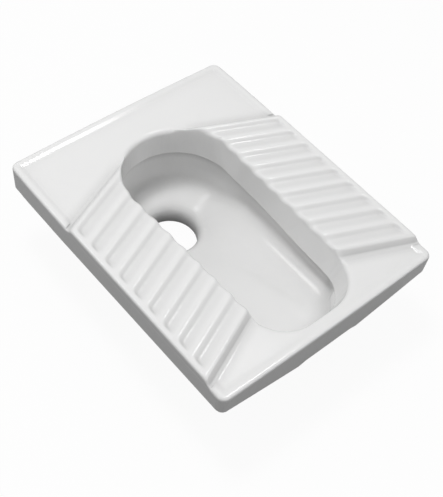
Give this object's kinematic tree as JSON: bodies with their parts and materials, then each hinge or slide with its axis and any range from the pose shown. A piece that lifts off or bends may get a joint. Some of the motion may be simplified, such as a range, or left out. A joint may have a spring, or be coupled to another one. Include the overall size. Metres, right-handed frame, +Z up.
{
  "type": "squat toilet",
  "caption": "White glazed squat toilet pan let into a floor, with ribbed foot treads, a closed flush rim, a dished bowl and a round outlet at the back.",
  "frame": {"origin": "middle of the pan in plan, on the plane of the side skirts' lower edges, which is the plane on which the pan is bedded in the floor", "axes": "+Z up, +Y towards the outlet end, +X to the right"},
  "size_m": [0.46, 0.566, 0.2138],
  "materials": {
    "glazed_china": "gloss white glaze",
    "seal_rubber": "matte black"
  },
  "bodies": {
    "root": {"deck": "glazed_china", "skirt": "glazed_china", "left_tread": "glazed_china", "right_tread": "glazed_china", "rim_curtain": "glazed_china", "channel_wall": "glazed_china", "jet_plate": "glazed_china", "bowl": "glazed_china", "outlet_spigot": "glazed_china", "flush_inlet": "glazed_china", "cross_webs": "glazed_china", "outlet_seal": "seal_rubber", "inlet_cone": "seal_rubber"}
  },
  "joints": []
}
